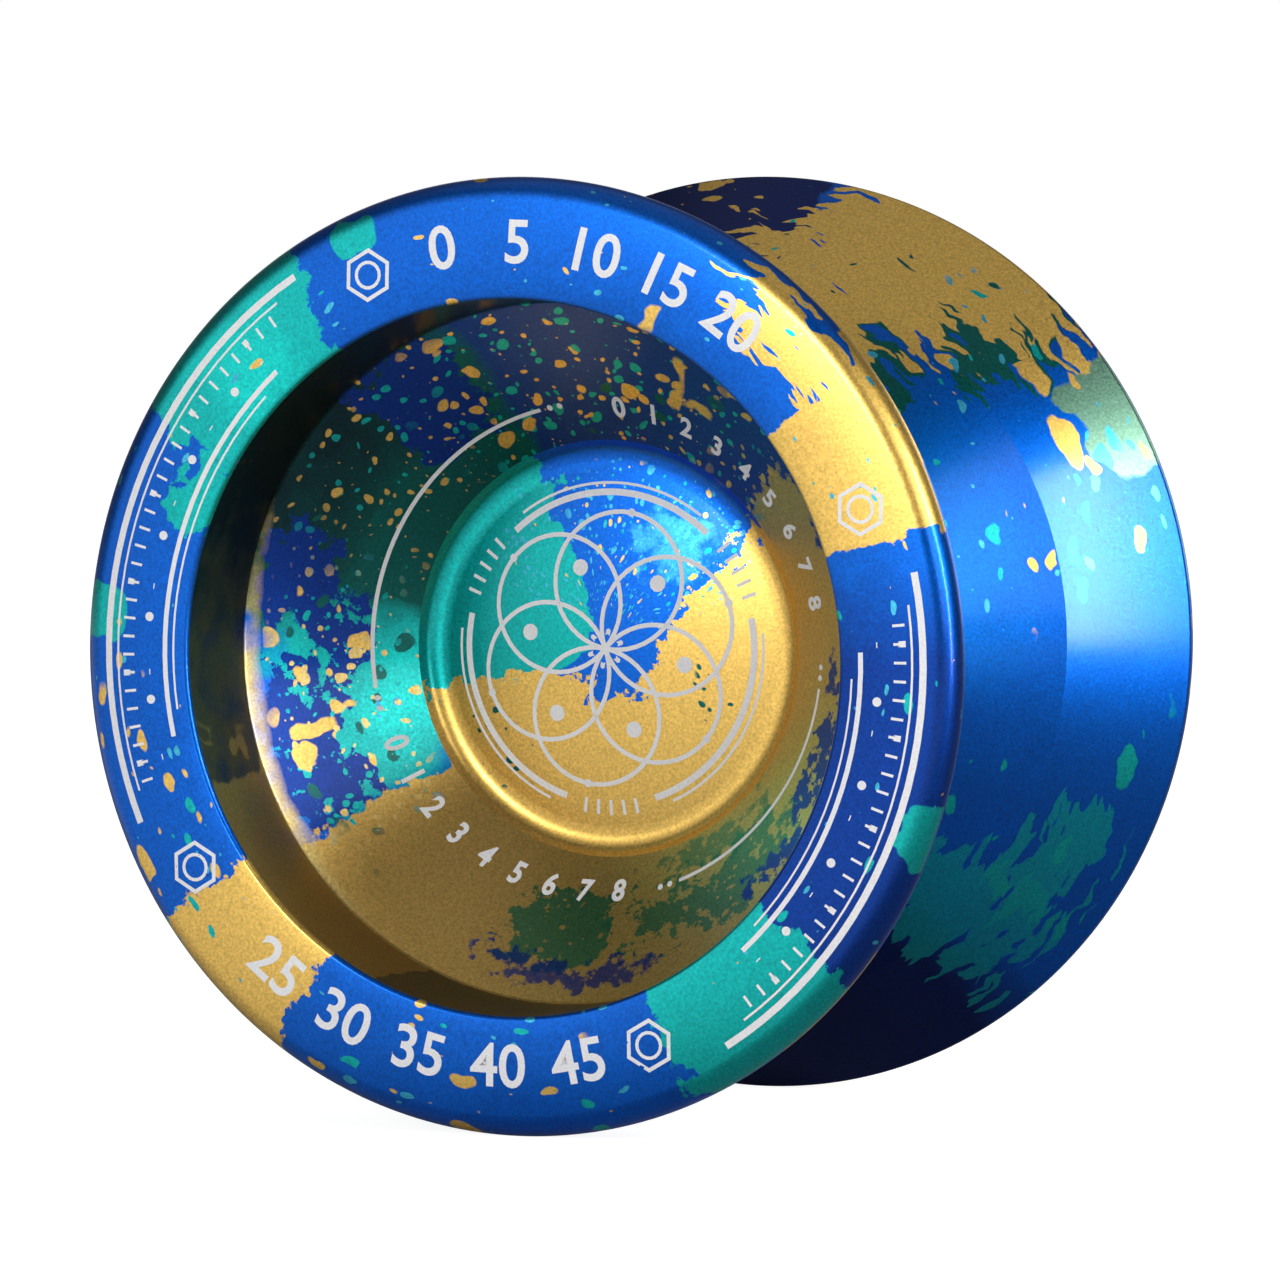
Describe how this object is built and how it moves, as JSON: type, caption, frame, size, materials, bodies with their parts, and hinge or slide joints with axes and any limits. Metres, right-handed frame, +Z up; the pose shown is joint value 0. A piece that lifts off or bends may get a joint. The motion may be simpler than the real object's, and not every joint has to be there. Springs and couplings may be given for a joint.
{
  "type": "yo-yo",
  "caption": "Ball-bearing throw toy: two turned aluminium halves with hollow cups, screwed onto a common axle either side of a free-spinning string bearing.",
  "frame": {"origin": "middle of the axle, halfway between the two halves", "axes": "+Y along the axle from the front half to the rear half, +Z up, +X to the right seen from the front"},
  "size_m": [0.056, 0.0396, 0.056],
  "materials": {
    "anodised_front": "bead-blasted and dyed in blue, gold and teal splashes",
    "anodised_rear": "bead-blasted and dyed in blue, gold and teal splashes",
    "silicone": "matt cast silicone",
    "axle_steel": "plain stainless steel",
    "bearing_steel": "ground and polished",
    "ball_steel": "mirror polished",
    "cage_steel": "pressed and tumbled",
    "shield_steel": "rolled sheet",
    "clip_steel": "spring wire"
  },
  "bodies": {
    "spool": {"front_half": "anodised_front", "front_response_pad": "silicone", "axle_screw": "axle_steel", "bearing_inner_race": "bearing_steel"},
    "rear_pad_carrier": {"rear_response_pad": "silicone"},
    "rear_side": {"rear_half": "anodised_rear"},
    "string_race": {"bearing_outer_race": "bearing_steel", "front_bearing_shield": "shield_steel", "rear_bearing_shield": "shield_steel", "front_shield_clip": "clip_steel", "rear_shield_clip": "clip_steel"},
    "ball_cage": {"bearing_cage": "cage_steel", "bearing_ball_01": "ball_steel", "bearing_ball_02": "ball_steel", "bearing_ball_03": "ball_steel", "bearing_ball_04": "ball_steel", "bearing_ball_05": "ball_steel", "bearing_ball_06": "ball_steel", "bearing_ball_07": "ball_steel", "bearing_ball_08": "ball_steel", "bearing_ball_09": "ball_steel", "bearing_ball_10": "ball_steel"}
  },
  "joints": [
    {"name": "outer_race_spin", "type": "hinge", "parent": "spool", "child": "string_race", "pos_m": [0, 0, 0], "axis": [0, 1, 0], "continuous": true},
    {"name": "cage_spin", "type": "hinge", "parent": "spool", "child": "ball_cage", "pos_m": [0, 0, 0], "axis": [0, 1, 0], "continuous": true},
    {"name": "rear_half_travel", "type": "slide", "parent": "spool", "child": "rear_pad_carrier", "axis": [0, 1, 0], "range_m": [0, 0.0049]},
    {"name": "rear_half_unscrew", "type": "hinge", "parent": "rear_pad_carrier", "child": "rear_side", "pos_m": [0, 0, 0], "axis": [0, 1, 0], "range_deg": [0, 2520]}
  ],
  "couplings": [
    {"joint": "cage_spin", "follows": "outer_race_spin", "ratio": 0.58333},
    {"joint": "rear_half_travel", "follows": "rear_half_unscrew", "m_per_rad": 0.00011141}
  ]
}
